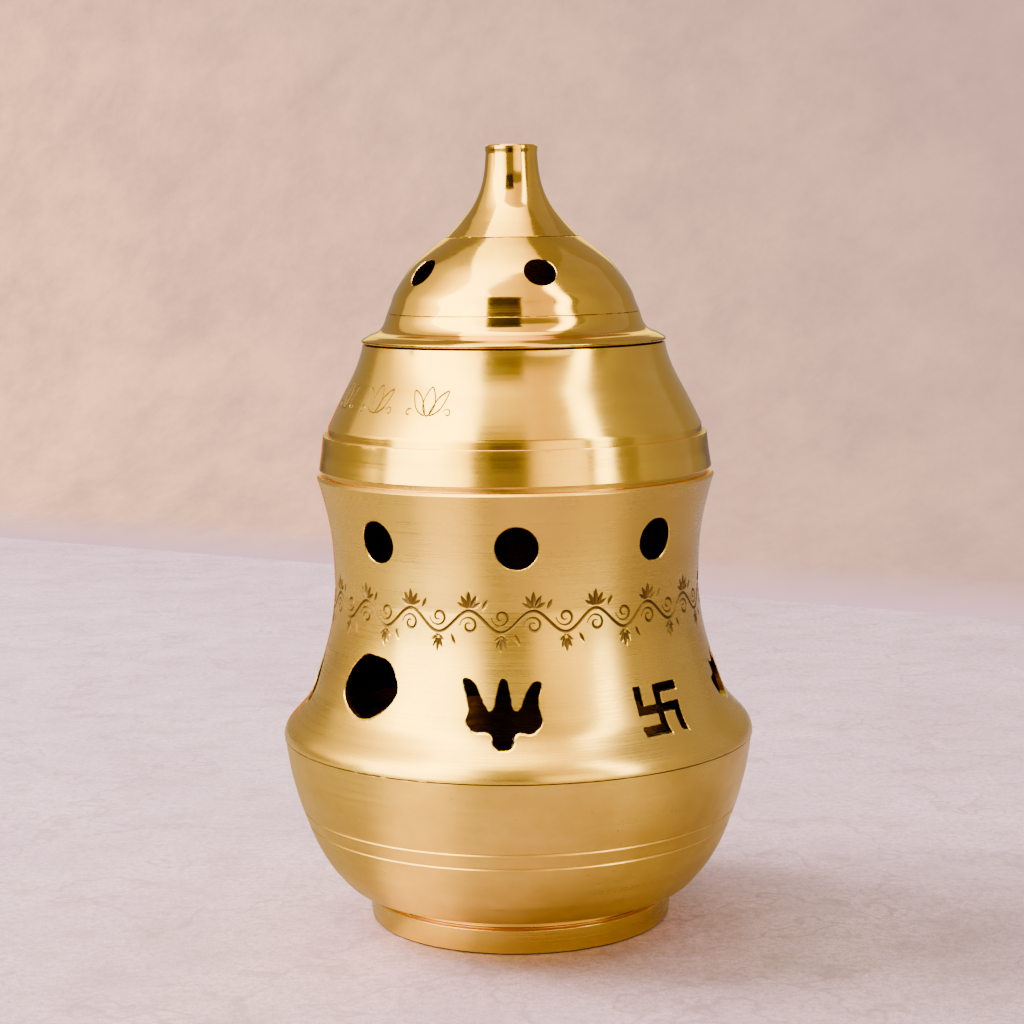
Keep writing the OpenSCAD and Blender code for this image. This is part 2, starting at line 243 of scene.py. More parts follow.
def lathe(name, outline, columns=384, ease=0.2, step=1.2, nicks=(), wobble=0.02):
    """A solid turned about Z from a closed outline, or from one whose two ends are on the axis.

    nicks are (height, least radius, depth) of ragged edges, where a piece meets its neighbour."""
    on_axis = outline[0][0] < 1e-6
    points = filled(eased(outline, ease, closed=not on_axis), step, closed=not on_axis)
    rings = np.array(points[1:-1] if on_axis else points, float)
    angle = np.arange(columns) * 2 * math.pi / columns
    r = np.repeat(rings[:, :1], columns, axis=1)
    z = np.repeat(rings[:, 1:], columns, axis=1)
    seed = sum(map(ord, name))
    r = r + wobble * ripple(angle, z, seed, 60)
    for height, least, depth in nicks:
        near = np.clip(1.5 - np.abs(rings[:, 1] - height) / 0.2, 0, 1) * (rings[:, 0] > least)
        bite = np.clip(ripple(angle, 0 * angle, seed + 1, 2) - 0.1, 0, 1)
        r = r - depth * np.outer(near, bite)
    verts = np.stack([r * np.sin(angle), -r * np.cos(angle), z], axis=2).reshape(-1, 3) * MM
    verts = [tuple(v) for v in verts]
    count = len(rings)
    faces = []
    for i in range(count - 1 if on_axis else count):
        a, b = i * columns, (i + 1) % count * columns
        faces += [(a + k, a + (k + 1) % columns, b + (k + 1) % columns, b + k)
                  for k in range(columns)]
    if on_axis:
        bottom, top = len(verts), len(verts) + 1
        verts += [(0, 0, points[0][1] * MM), (0, 0, points[-1][1] * MM)]
        a = (count - 1) * columns
        faces += [(bottom, (k + 1) % columns, k) for k in range(columns)]
        faces += [(top, a + k, a + (k + 1) % columns) for k in range(columns)]
    obj = new_object(name, verts, faces)
    shade(obj)
    return obj


def shade(obj, angle_deg=32):
    mesh = obj.data
    mesh.shade_smooth()
    mesh.set_sharp_from_angle(angle=math.radians(angle_deg))


def combine(operation, obj, other):
    """Takes other out of obj, or joins it on, and removes it."""
    tool = obj.modifiers.new("tool", "BOOLEAN")
    tool.operation, tool.solver, tool.object = operation, "MANIFOLD", other
    result = obj.evaluated_get(bpy.context.evaluated_depsgraph_get())
    made = bpy.data.meshes.new_from_object(result)
    obj.modifiers.clear()
    obj.data = made
    bpy.data.objects.remove(other)


def subtract(obj, cutters):
    """Cuts the cutters out of obj, one after the other."""
    for cutter in cutters:
        combine("DIFFERENCE", obj, cutter)
        obj.data.materials.clear()
    obj.data.name = obj.name
    shade(obj)


def outward(verts, faces):
    """The faces, turned round if need be so that they face out of the solid."""
    p = np.array([tuple(v) for v in verts])
    volume = sum(np.dot(p[f[0]], np.cross(p[f[i]], p[f[i + 1]]))
                 for f in faces for i in range(1, len(f) - 1))
    return faces if volume > 0 else [tuple(reversed(f)) for f in faces]


def solid_of_layers(name, layers):
    """A solid from layers that have the same number of points: flat ends, and walls between them."""
    n = len(layers[0])
    verts = [tuple(p) for layer in layers for p in layer]
    faces = [(a * n + k, a * n + (k + 1) % n, (a + 1) * n + (k + 1) % n, (a + 1) * n + k)
             for a in range(len(layers) - 1) for k in range(n)]
    ends = geometry.tessellate_polygon([[Vector(p) for p in layers[0]]])
    last = (len(layers) - 1) * n
    faces += [tuple(reversed(t)) for t in ends] + [tuple(last + i for i in t) for t in ends]
    return new_object(name, verts, outward(verts, faces))


# ---- Cut-outs and grooves ----

def sawn(outline, seed, wander, step=0.5):
    """A closed outline as a hand saw and a file leave it: close points that wander a little.

    It runs anticlockwise, and comes with its outward normals."""
    points = np.array(filled(outline, step))
    if (points[:, 0] * np.roll(points[:, 1], -1) - np.roll(points[:, 0], -1) * points[:, 1]).sum() < 0:
        points = points[::-1]
    n = len(points)
    tangent = np.roll(points, -1, axis=0) - np.roll(points, 1, axis=0)
    normal = np.stack([tangent[:, 1], -tangent[:, 0]], axis=1)
    normal /= np.linalg.norm(normal, axis=1)[:, None]
    along = np.arange(n) / n * 2 * math.pi
    rng = np.random.default_rng(seed)
    push = sum(np.sin(k * along + rng.uniform(0, 2 * math.pi)) * rng.uniform(0.3, 1) / k ** 0.35
               for k in range(3, n // 3))
    push *= wander / max(1e-6, np.abs(push).max())
    return points + normal * push[:, None], normal


def wall_cutter(outline, turn_deg, height, wall, seed, inside, chamfer, wander, tilt_deg=0):
    """A cutter straight through the wall, turned from the front, that also breaks the sawn edge.

    wall is the outer outline; inside is the distance from the axis at which the cutter starts."""
    points, normal = sawn(outline, seed, wander)
    turn, tilt = math.radians(turn_deg), math.radians(tilt_deg)
    across = np.array([math.cos(turn), math.sin(turn), 0])
    level = np.array([math.sin(turn), -math.cos(turn), 0])
    axis = level * math.cos(tilt) + np.array([0, 0, math.sin(tilt)])
    up = np.array([0, 0, math.cos(tilt)]) - level * math.sin(tilt)
    centre = np.array([0, 0, height]) + level * radius_at(wall, height)

    def place(spread, depth):
        uv = points + normal * spread
        depth = np.broadcast_to(depth, len(uv))
        return centre + uv[:, :1] * across + uv[:, 1:] * up + depth[:, None] * axis

    def surface_depth(spread):
        """How far along the axis each point meets the wall, found by stepping onto it."""
        depth = np.zeros(len(points))
        for _ in range(12):
            p = place(spread, depth)
            gap = radius_at(wall, p[:, 2]) - np.hypot(p[:, 0], p[:, 1])
            depth = depth + 0.8 * gap
        return depth

    meet = surface_depth(0)
    layers = [place(0, inside), place(0, meet - chamfer), place(2 * chamfer, meet + chamfer),
              place(2 * chamfer, meet.max() + 8)]
    return solid_of_layers("cutter", [layer * MM for layer in layers])


def ribbon(wall, path, widths, depth_share=0.9, closed=False, reach=0.45):
    """A V-shaped groove cutter along a path of (angle in radians, height), on the wall's outline.

    widths are half widths in millimetres at the surface; the groove is depth_share times as deep."""
    path = np.array(path, float)
    n = len(path)
    widths = np.broadcast_to(np.array(widths, float), n)
    r = radius_at(wall, path[:, 1])
    flat = np.stack([path[:, 0] * r, path[:, 1]], axis=1)
    if closed:
        span = 2 * math.pi * r[0] if path[-1, 0] - path[0, 0] > math.pi else 0
        ahead, behind = np.roll(flat, -1, axis=0), np.roll(flat, 1, axis=0)
        ahead[-1, 0] += span
        behind[0, 0] -= span
    else:
        ahead = np.vstack([flat[1:], flat[-1:]])
        behind = np.vstack([flat[:1], flat[:-1]])
    tangent = ahead - behind
    tangent /= np.linalg.norm(tangent, axis=1)[:, None]
    normal = np.stack([-tangent[:, 1], tangent[:, 0]], axis=1)

    def on_wall(side, lift):
        s = flat + normal * (side * widths)[:, None]
        rr = radius_at(wall, s[:, 1]) + lift * np.ones(n)
        a = s[:, 0] / r
        return np.stack([rr * np.sin(a), -rr * np.cos(a), s[:, 1]], axis=1) * MM

    spread = 1 + reach / np.maximum(depth_share * widths, 1e-3)
    left, right = on_wall(spread, reach), on_wall(-spread, reach)
    bottom = on_wall(np.zeros(n), -depth_share * widths)
    verts = np.stack([left, bottom, right], axis=1).reshape(-1, 3)
    faces = []
    for i in range(n if closed else n - 1):
        a, b = 3 * i, 3 * ((i + 1) % n)
        faces += [(a + k, b + k, b + (k + 1) % 3, a + (k + 1) % 3) for k in range(3)]
    if not closed:
        faces += [(0, 1, 2), (3 * n - 1, 3 * n - 2, 3 * n - 3)]
    return verts, outward(verts, faces)


def joined(name, parts):
    """One object from (verts, faces) parts that don't touch."""
    verts, faces = [], []
    for v, f in parts:
        faces += [tuple(i + len(verts) for i in face) for face in f]
        verts += [tuple(p) for p in v]
    return new_object(name, verts, faces)


def merged(name, objects):
    """One object from several that don't touch, which are removed."""
    parts = [([v.co.copy() for v in o.data.vertices], [tuple(f.vertices) for f in o.data.polygons])
             for o in objects]
    for o in objects:
        bpy.data.objects.remove(o)
    return joined(name, parts)


# The outlines of the sawn motifs, across and up from each motif's middle
OVAL = smooth([(-4.4, 8.2), (0.6, 8.6), (5.8, 7.6), (9, 4.4), (10.9, 0), (9, -4), (4.4, -7.4),
               (-0.8, -8.5), (-5.6, -7), (-9.8, -4.2), (-10.9, -0.9), (-9.2, 4)], 4, closed=True)
TRIDENT = smooth([
    (-11.2, 8.2), (-9.8, 9), (-7.4, 7), (-5.6, 2.8), (-4, 0.4), (-2.6, 1.4), (-1.8, 5.4),
    (-0.8, 8.6), (0.6, 8.6), (1.7, 5.2), (2.5, 1.5), (3.6, 0.5), (4.8, 1.5), (6.2, 5.2),
    (8, 7.9), (10.2, 7.5), (9.4, 2.6), (10.5, -2.6), (8, -5.2), (4.6, -5), (3.3, -6),
    (3, -7.8), (1.6, -9), (-1, -9.1), (-2.7, -7.9), (-3, -6.2), (-4.4, -4.9), (-8.2, -4.8),
    (-10.2, -2.4), (-9.4, 0.4), (-10, 3.8)], 4, closed=True)
LOTUS = smooth([(0, 9), (2.8, 4.6), (6.4, 6.2), (6.2, 2), (9.4, 0.6), (6, -4), (0, -6), (-6, -4),
                (-9.4, 0.6), (-6.2, 2), (-6.4, 6.2), (-2.8, 4.6)], 4, closed=True)
DROP = smooth([(0, 9), (3.4, 3.4), (5, -1.6), (3.2, -6), (0, -7.4), (-3.2, -6), (-5, -1.6),
               (-3.4, 3.4)], 4, closed=True)


def circle(r, points=48):
    return [(r * math.cos(a), r * math.sin(a))
            for a in (k * 2 * math.pi / points for k in range(points))]


def swastika(w=8, h=6.5, a=1.2):
    """The Hindu sign of good fortune, arms turned clockwise: half width, half height, half stroke."""
    outline = [(-a, a), (-a, h), (w, h), (w, h - 2 * a), (a, h - 2 * a), (a, a), (w, a), (w, -h),
               (w - 2 * a, -h), (w - 2 * a, -a), (a, -a), (a, -h), (-w, -h), (-w, 2 * a - h),
               (-a, 2 * a - h), (-a, -a), (-w, -a), (-w, h), (2 * a - w, h), (2 * a - w, a)]
    return eased(outline, 0.35)


MOTIF_Z = 72.5
# Each motif's turn from the front in degrees, its lift above MOTIF_Z, and its outline
MOTIFS = [(-84, 0.5, DROP), (-46, 3.9, OVAL), (-4, 0, TRIDENT), (41, -2, swastika()),
          (80, 0, LOTUS), (119, 3.9, OVAL), (158, 0, TRIDENT), (198, 0, LOTUS), (246, 0.5, DROP)]
VENTS, VENT_R, VENT_Z = 8, 6, 116.8
DOME_HOLE_TURNS, DOME_HOLE_R, DOME_HOLE_TILT = (-57.5, 14.5, 106, 198), 4.6, 37
DOME_HOLE_Z = JOINT_Z + 0.56 * (SPOUT_Z - JOINT_Z)


# ---- Engraving ----

def scroll(angle, z, size, start_deg, turns, wall, hand=1, steps=30):
    """The path of a spiral about (angle, z), from its outside inward; hand is 1 or -1."""
    r = float(radius_at(wall, z))
    path = []
    for t in np.linspace(0, 1, steps):
        reach = size * (1 - 0.78 * t ** 0.85)
        around = math.radians(start_deg) + hand * turns * 2 * math.pi * t
        path.append((angle + reach * math.cos(around) / r, z + reach * math.sin(around)))
    return path


def leaf(angle, z, heading_deg, length, wall, steps=9):
    """The path of a short straight leaf that starts at (angle, z)."""
    r = float(radius_at(wall, z))
    h = math.radians(heading_deg)
    return [(angle + t * length * math.cos(h) / r, z + t * length * math.sin(h))
            for t in np.linspace(0, 1, steps)]


def tapered(steps, widest, tail=0.12):
    return [max(tail, widest * math.sin(math.pi * t) ** 0.7) for t in np.linspace(0, 1, steps)]


VINE_Z, VINE_RISE, VINE_WAVES, VINE_LINE = 96.6, 2.9, 19, 0.46
VINE_SPAN = (88.5, 105)
# Each leaf at a crest: its lean from upright in degrees, its length, and its half width
CREST_LEAVES = [(-58, 3.0, 0.5), (-27, 3.9, 0.62), (0, 4.6, 0.7), (27, 3.9, 0.62), (58, 3.0, 0.5)]


def vine_cutters(wall):
    """A running vine round the waist: its stem, its scrolls and its leaves, each a set of grooves."""
    count = VINE_WAVES * 36
    stem = [(a, VINE_Z + VINE_RISE * math.sin(VINE_WAVES * a))
            for a in (k * 2 * math.pi / count for k in range(count))]
    scrolls, leaves, sprouts = [], [], []
    half = math.pi / VINE_WAVES
    for k in range(2 * VINE_WAVES):
        side = 1 if k % 2 == 0 else -1
        crest = (k + 0.5) * half
        spiral = scroll(crest, VINE_Z - side * 1.1, 2.7, 180, 1.35, wall, hand=-side)
        scrolls.append(ribbon(wall, spiral, tapered(30, 0.44, 0.18), 0.7))
        top = VINE_Z + side * (VINE_RISE + 0.75)
        for lean, length, widest in CREST_LEAVES:
            fan = math.radians(lean) * side
            foot = crest + 0.8 * math.sin(fan) / float(radius_at(wall, top))
            path = leaf(foot, top, side * 90 - math.degrees(fan), length, wall)
            leaves.append(ribbon(wall, path, tapered(9, widest), 0.55))
        path = leaf(crest + 0.42 * half, VINE_Z + side * 3.4, side * 62, 3.0, wall)
        sprouts.append(ribbon(wall, path, tapered(9, 0.5), 0.6))
    return [joined("stem", [ribbon(wall, stem, VINE_LINE, 0.75, closed=True)]),
            joined("scrolls", scrolls), joined("leaves", leaves[::2]),
            joined("more_leaves", leaves[1::2]), joined("sprouts", sprouts)]


SPRIG_Z, SPRIG_LINE, SPRIG_SIZE = 155.6, 0.19, 1.1
SPRIGS, SPRIG_START_DEG, SPRIG_STEP_DEG = 6, -28, 22
SPRIG_SPAN = (149, 161)


def sprig_cutters(wall):
    """Lotus buds drawn in thin lines on the shoulder, from the front's left round to the back."""
    outer, middle, stems = [], [], []
    r = float(radius_at(wall, SPRIG_Z))
    petal = smooth([(0, -3.4), (1.5, -1.4), (1.5, 1.4), (0, 4.2), (-1.5, 1.4), (-1.5, -1.4)],
                   5, closed=True)
    side_petal = smooth([(0.6, -3.2), (3.0, -2.0), (4.4, 0.6), (5.0, 3.2), (3.2, 2.2), (1.9, 0.4)],
                        5, closed=True)

    def on_shoulder(outline, turn, flip=1):
        return [(turn + flip * SPRIG_SIZE * x / r, SPRIG_Z + 0.9 * SPRIG_SIZE * y) for x, y in outline]

    for k in range(SPRIGS):
        turn = math.radians(SPRIG_START_DEG - SPRIG_STEP_DEG * k)
        middle.append(ribbon(wall, on_shoulder(petal, turn), SPRIG_LINE, closed=True))
        for flip in (-1, 1):
            path = on_shoulder(side_petal, turn, flip)
            outer.append(ribbon(wall, path, SPRIG_LINE, closed=True))
            curl = scroll(turn + flip * 5.9 / r, SPRIG_Z - 2.6, 1.4, 90 + 90 * flip, 1.0, wall,
                          hand=-flip)
            stems.append(ribbon(wall, curl, tapered(30, SPRIG_LINE, 0.08)))
    return [joined("petals", middle), joined("side_petals", outer), joined("curls", stems)]


# ---- Materials ----

def rgb(r, g, b):
    return (r, g, b, 1.0)


def fill(tree, made, **inputs):
    """Gives each named input a value, or a link from another node's output.

    An underscore in a name stands for a space, and _0, _1 and so on are inputs by number."""
    for name, value in inputs.items():
        socket = made.inputs[int(name[1:]) if name[0] == "_" else name.replace("_", " ")]
        if isinstance(value, bpy.types.NodeSocket):
            tree.links.new(value, socket)
        else:
            socket.default_value = value


def node(tree, kind, **inputs):
    made = tree.nodes.new("ShaderNode" + kind)
    fill(tree, made, **inputs)
    return made


def maths(tree, operation, *values):
    """A number worked out from the values, each a number or another node's output."""
    made = node(tree, "Math", **{f"_{i}": value for i, value in enumerate(values)})
    made.operation = operation
    return made.outputs[0]


def noise(tree, place, per_m, detail=2.0, rough=0.5):
    """Noise with per_m cells to the metre: one number, or three for x, y and z."""
    scale = per_m if isinstance(per_m, tuple) else (per_m, per_m, per_m)
    mapping = node(tree, "Mapping", Vector=place, Scale=scale)
    made = node(tree, "TexNoise", Vector=mapping.outputs[0], Scale=1.0, Detail=detail, Roughness=rough)
    return made.outputs[0]


def ranged(tree, value, from_min, from_max, to_min, to_max):
    made = node(tree, "MapRange", _0=value, _1=from_min, _2=from_max, _3=to_min, _4=to_max)
    return made.outputs[0]


def mixed(tree, share, a, b):
    made = tree.nodes.new("ShaderNodeMix")
    made.data_type = "RGBA"
    fill(tree, made, _0=share, _6=a, _7=b)
    return made.outputs[2]


def tinted(tree, colour, tint, value, start, end, most=1.0):
    """The colour, with more of the tint as the value goes from start to end."""
    return mixed(tree, ranged(tree, value, start, end, 0.0, most), colour, tint)


def material(name):
    """A new material, with its node tree, its shader, and the object's own coordinates."""
    made = bpy.data.materials.new(name)
    made.use_nodes = True
    tree = made.node_tree
    place = tree.nodes.new("ShaderNodeTexCoord").outputs["Object"]
    return made, tree, tree.nodes["Principled BSDF"], place


def brass(name, light, dark, rough, spread=0.06, lines=0.35, grain=0.2, pits=0.0, brushed=0.6,
          line_mm=0.35, tarnish=0.35, dents=0.0):
    """Turned brass: rings of fine tool lines, a fine grain, faint blotches, and a few pits.

    light and dark are its two colours, rough its mean roughness, and brushed its anisotropy. lines,
    grain, pits and dents are heights of relief, and tarnish is how far the dark colour comes through."""
    made, tree, shader, place = material(name)
    around = node(tree, "Tangent")
    around.direction_type = "RADIAL"
    around.axis = "Z"
    fill(tree, shader, Metallic=1.0, Anisotropic=brushed, Anisotropic_Rotation=0.25,
         Tangent=around.outputs[0])

    per_m = 1000 / line_mm
    rings = noise(tree, place, (6, 6, per_m), 3.0, 0.5)
    broad = noise(tree, place, (25, 25, 260), 2.0)
    fine = noise(tree, place, 2600, 1.0)
    blotch = noise(tree, place, (55, 55, 70), 4.0, 0.6)
    colour = tinted(tree, light, dark, blotch, 0.36, 0.66, tarnish)
    colour = tinted(tree, colour, dark, broad, 0.4, 0.68, 0.35 * tarnish)
    relief = maths(tree, "MULTIPLY_ADD", fine, grain, maths(tree, "MULTIPLY", rings, lines))
    if dents:
        swell = noise(tree, place, 70, 1.0)
        relief = maths(tree, "MULTIPLY_ADD", swell, dents, relief)
    if pits:
        cells = node(tree, "TexVoronoi", Vector=place, Scale=210.0, Randomness=1.0)
        rare = noise(tree, place, 160, 1.0)
        hole = ranged(tree, cells.outputs["Distance"], 0.02, 0.07, 0.7, 0.0)
        seldom = ranged(tree, rare, 0.52, 0.56, 0.0, 1.0)
        pit = maths(tree, "MULTIPLY", hole, seldom)
        colour = mixed(tree, pit, colour, rgb(*(0.35 * c for c in dark[:3])))
        relief = maths(tree, "MULTIPLY_ADD", pit, -pits, relief)
    uneven = maths(tree, "ADD", rings, blotch)
    rough_mix = ranged(tree, uneven, 0.7, 1.3, rough - spread, rough + spread)
    bump = node(tree, "Bump", Strength=0.35, Distance=0.00006, Height=relief)
    fill(tree, shader, Base_Color=colour, Roughness=rough_mix, Normal=bump.outputs[0])
    return made


SATIN = brass("satin_brass", rgb(0.90, 0.51, 0.075), rgb(0.76, 0.39, 0.04), 0.29, lines=0.2, grain=0.15)
BRIGHT = brass("bright_brass", rgb(0.92, 0.50, 0.04), rgb(0.68, 0.36, 0.05), 0.1, spread=0.05,
               lines=0.12, grain=0.06, brushed=0.2, tarnish=0.8, dents=1.6)
BAND = brass("band_brass", rgb(0.90, 0.51, 0.05), rgb(0.76, 0.39, 0.03), 0.19, spread=0.05,
             lines=0.2, grain=0.1, brushed=0.5, tarnish=0.5, dents=1.0)
CAST = brass("matte_brass", rgb(0.90, 0.53, 0.09), rgb(0.70, 0.37, 0.05), 0.34, spread=0.07,
             lines=0.5, grain=0.6, pits=1.2, brushed=0.4, line_mm=0.5, tarnish=0.8)
FOOT = brass("foot_brass", rgb(0.88, 0.52, 0.08), rgb(0.72, 0.38, 0.05), 0.24, spread=0.06,
             lines=0.2, grain=0.2, brushed=0.6, tarnish=0.7)
PLAIN = brass("plain_brass", rgb(0.66, 0.34, 0.06), rgb(0.42, 0.19, 0.025), 0.3, tarnish=0.6)
# Dark brass for the oil bowl's inside: partly oil and soot, partly painted shade, where little light
# gets in.
OILED_AND_SHADED = brass("oiled_and_shaded_brass", rgb(0.20, 0.07, 0.008), rgb(0.07, 0.02, 0.003), 0.26, spread=0.1,
              lines=0.5, grain=0.4, brushed=0.5, line_mm=0.8, tarnish=0.8)
# Near black brass for the inner faces of the shield, shoulder and lid: partly soot and tarnish, partly
# painted shade, where little light gets in.
AGED_AND_SHADED = brass("aged_and_shaded_brass", rgb(0.055, 0.015, 0.004), rgb(0.025, 0.006, 0.002), 0.30, spread=0.1,
             lines=0.4, grain=0.3, brushed=0.5, line_mm=0.8, tarnish=0.8)
SAWN = brass("sawn_edge", rgb(0.92, 0.54, 0.10), rgb(0.74, 0.38, 0.05), 0.25, lines=0.8,
             grain=0.5, brushed=0.0, line_mm=0.2)
CARVED = brass("engraved_brass", rgb(0.16, 0.085, 0.03), rgb(0.09, 0.045, 0.018), 0.5, lines=0.3,
               grain=0.8, brushed=0.0, tarnish=0.9)
# Near black brass for seams and gaps between parts: painted shade where one part meets or overhangs
# another, and at the lid's joints also their own dark line.
SEAM_SHADE = brass("seam_shade_brass", rgb(0.07, 0.03, 0.012), rgb(0.03, 0.012, 0.005), 0.5, lines=0.3,
             grain=0.8, brushed=0.0, tarnish=0.9)


def cotton():
    made, tree, shader, place = material("cotton")
    fibre = noise(tree, place, (900, 900, 2600), 4.0, 0.7)
    colour = tinted(tree, rgb(0.86, 0.82, 0.73), rgb(0.96, 0.94, 0.89), fibre, 0.3, 0.7)
    bump = node(tree, "Bump", Strength=0.6, Distance=0.0002, Height=fibre)
    fill(tree, shader, Base_Color=colour, Roughness=0.9, Sheen_Weight=0.3, Normal=bump.outputs[0])
    return made


COTTON = cotton()


# ---- Pieces ----

def finish_piece(obj, body, slot, nodes, *materials):
    """Gives a piece its materials and its body, and hides the CAD nodes it stands for. Its slot argument
    is not used.
    """
    for made in materials:
        obj.data.materials.append(made)
    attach(obj, body)
    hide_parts(*nodes)


def face_places(obj):
    """The angle, radius and height of each face's middle, in millimetres."""
    centre = np.zeros(len(obj.data.polygons) * 3)
    obj.data.polygons.foreach_get("center", centre)
    x, y, z = (centre.reshape(-1, 3) / MM).T
    return np.arctan2(x, -y), np.hypot(x, y), z


def paint(obj, index, chosen):
    """Gives a material to the chosen faces, where chosen is true or false for each face."""
    now = np.zeros(len(chosen), dtype=np.int32)
    obj.data.polygons.foreach_get("material_index", now)
    now[chosen] = index
    obj.data.polygons.foreach_set("material_index", now)
    obj.data.update()


def paint_seam_shade(obj, index, seams):
    """Gives a material to the faces in each seam, here always the near black seam brass: painted shade
    in the gap where two parts meet.

    A seam is (lowest height, highest height, least radius, share of the way round)."""
    angle, r, z = face_places(obj)
    for low_z, high_z, least, share in seams:
        patchy = ripple(angle, 0 * angle, 11 + int(low_z), 3) < 2.2 * share - 1.1
        paint(obj, index, (z > low_z) & (z < high_z) & (r > least) & patchy)


def depth_under(outline, r, z):
    """The distance from each point (r, z) to the nearest stretch of the outline."""
    best = np.full(len(r), 1e9)
    line = np.array(outline, float)
    for a, b in zip(line[:-1], line[1:]):
        run = b - a
        t = np.clip(((r - a[0]) * run[0] + (z - a[1]) * run[1]) / (run @ run), 0, 1)
        best = np.minimum(best, np.hypot(r - a[0] - t * run[0], z - a[1] - t * run[1]))
    return best


def paint_wall(obj, wall, carved=None):
    """Material 0 outside, 1 on inner and cut faces, which is near black there as partly tarnish and
    partly painted shade, and 2 on the broken edges of the cuts.

    carved is the lowest and highest height between which grooves get material 3."""
    _, r, z = face_places(obj)
    depth = depth_under(wall, r, z)
    depth[(z < wall[0][1]) | (z > wall[-1][1]) | (r > radius_at(wall, z))] = 0
    index = np.where(depth < 0.06, 0, np.where(depth > 0.5, 1, 2))
    if carved:
        groove = (z > carved[0]) & (z < carved[1]) & (depth > 0.03) & (depth < 0.6)
        index[groove] = 3
    obj.data.polygons.foreach_set("material_index", index.astype(np.int32))
    obj.data.update()


def score(outline, heights, depth=0.4):
    """The outline with a V cut at each height."""
    out = []
    for p in outline:
        if all(abs(p[1] - h) > depth for h in heights):
            out.append(p)
    for h in heights:
        at = next(i for i, p in enumerate(out) if p[1] > h)
        r = [float(radius_at(outline, h + d)) for d in (-depth, 0, depth)]
        out[at:at] = [(r[0], h - depth), (r[1] - depth, h), (r[2], h + depth)]
    return out


def make_foot_ring():
    foot_w = 4
    ring = lathe("foot_ring_turned", [
        (FOOT_R - foot_w, 0), (FOOT_R - 1.4, 0), (FOOT_R - 0.8, 0.5), (FOOT_R, FOOT_H - 0.5),
        (FOOT_R - 0.5, FOOT_H), (FOOT_R - foot_w, FOOT_H)], ease=0.25)
    # Painted shadow: the ring's bottom chamfer gets the near black seam brass, as contact shade where
    # the ring stands on the floor.
    paint_seam_shade(ring, 1, [(0.05, 0.45, FOOT_R - 2, 1)])
    finish_piece(ring, "base", "satin_brass", ["foot_ring"], FOOT, SEAM_SHADE)


def make_oil_bowl():
    wall, neck_w, scored_z = 2, 3, (30.2, 34.6)
    side = score(BELLY, scored_z)
    inner = within(inset(BELLY, wall), FLOOR_Z + 1, RIM_Z - 3)
    bowl = lathe("oil_bowl_cast", [
        (0, BELLY_Z), (NECK_R - neck_w, BELLY_Z), (NECK_R - neck_w, FOOT_H), (NECK_R, FOOT_H)]
        + side + [
        (SPIGOT_R, RIM_Z), (SPIGOT_R, SPIGOT_TOP), (SPIGOT_R - 1.8, SPIGOT_TOP),
        (SPIGOT_R - 1.8, RIM_Z - 2)] + inner[::-1] + [(NECK_R - 2, FLOOR_Z), (0, FLOOR_Z)],
        columns=512, nicks=[(RIM_Z, RIM_R - 1, 0.16)])
    # Painted shade: the seams where the bowl meets the foot ring and the wind shield get the near black
    # seam brass.
    paint_seam_shade(bowl, 1, [(FOOT_H - 1, FOOT_H + 0.12, NECK_R - 2, 1),
                          (RIM_Z - 0.22, RIM_Z + 0.2, RIM_R - 3, 1)])
    # The inner well, and the spigot's top hidden in the shield, get the dark oiled brass: painted shade
    # on both, with oil and soot in the well too.
    _, r, z = face_places(bowl)
    side_r = np.where(z > RIM_Z - 0.2, SPIGOT_R - 0.1, radius_at(BELLY, z) - 1.2)
    well = (z > FLOOR_Z - 0.1) & (r < side_r)
    paint(bowl, 2, well | (z > SPIGOT_TOP - 0.1))
    finish_piece(bowl, "base", "matte_brass", ["oil_bowl"], CAST, SEAM_SHADE, OILED_AND_SHADED)


def make_wick_stand():
    foot = lathe("stand_foot_turned", [
        (0, FLOOR_Z), (STAND_R, FLOOR_Z), (STAND_R, STAND_TOP), (0, STAND_TOP)], columns=192, ease=0.3)
    notch_r = 3.5
    notches = []
    for k in range(4):
        a = k * math.pi / 2
        layers = [[Vector((x + STAND_R * math.cos(a), y + STAND_R * math.sin(a), z)) * MM
                   for x, y in circle(notch_r)] for z in (FLOOR_Z - 1, STAND_TOP + 1)]
        notches.append(solid_of_layers("notch", layers))
    subtract(foot, [merged("notches", notches)])
    finish_piece(foot, "wick_stand", "plain_brass", ["stand_foot"], PLAIN)

    bore_r, hole_r, hole_lift = 2.7, 2, 4
    tube = lathe("wick_tube_drawn", [
        (bore_r, STAND_TOP), (TUBE_R, STAND_TOP), (TUBE_R, TUBE_TOP), (bore_r, TUBE_TOP)],
        columns=96, ease=0.25)
    holes = []
    for k in range(4):
        a = math.radians(45 + 90 * k)
        u, w = Vector((math.cos(a), math.sin(a), 0)), Vector((-math.sin(a), math.cos(a), 0))
        layers = [[(w * x + u * d + Vector((0, 0, STAND_TOP + hole_lift + y))) * MM
                   for x, y in circle(hole_r, 32)] for d in (1.9, TUBE_R + 1)]
        holes.append(solid_of_layers("hole", layers))
    subtract(tube, [merged("holes", holes)])
    finish_piece(tube, "wick_stand", "plain_brass", ["wick_tube"], PLAIN)

    sheet = 1
    outer = smooth([(TUBE_R, DISH_Z), (8, DISH_Z + 0.2), (DISH_R - 1, DISH_Z + 1.2),
                    (DISH_R, DISH_Z + 3)])
    inner = smooth([(TUBE_R, DISH_Z + sheet), (7.9, DISH_Z + 1.2), (DISH_R - 1.9, DISH_Z + 2),
                    (DISH_R - sheet, DISH_Z + 3)])
    dish = lathe("drip_dish_spun", outer + inner[::-1], columns=160, ease=0.2)
    finish_piece(dish, "wick_stand", "plain_brass", ["drip_dish"], PLAIN)


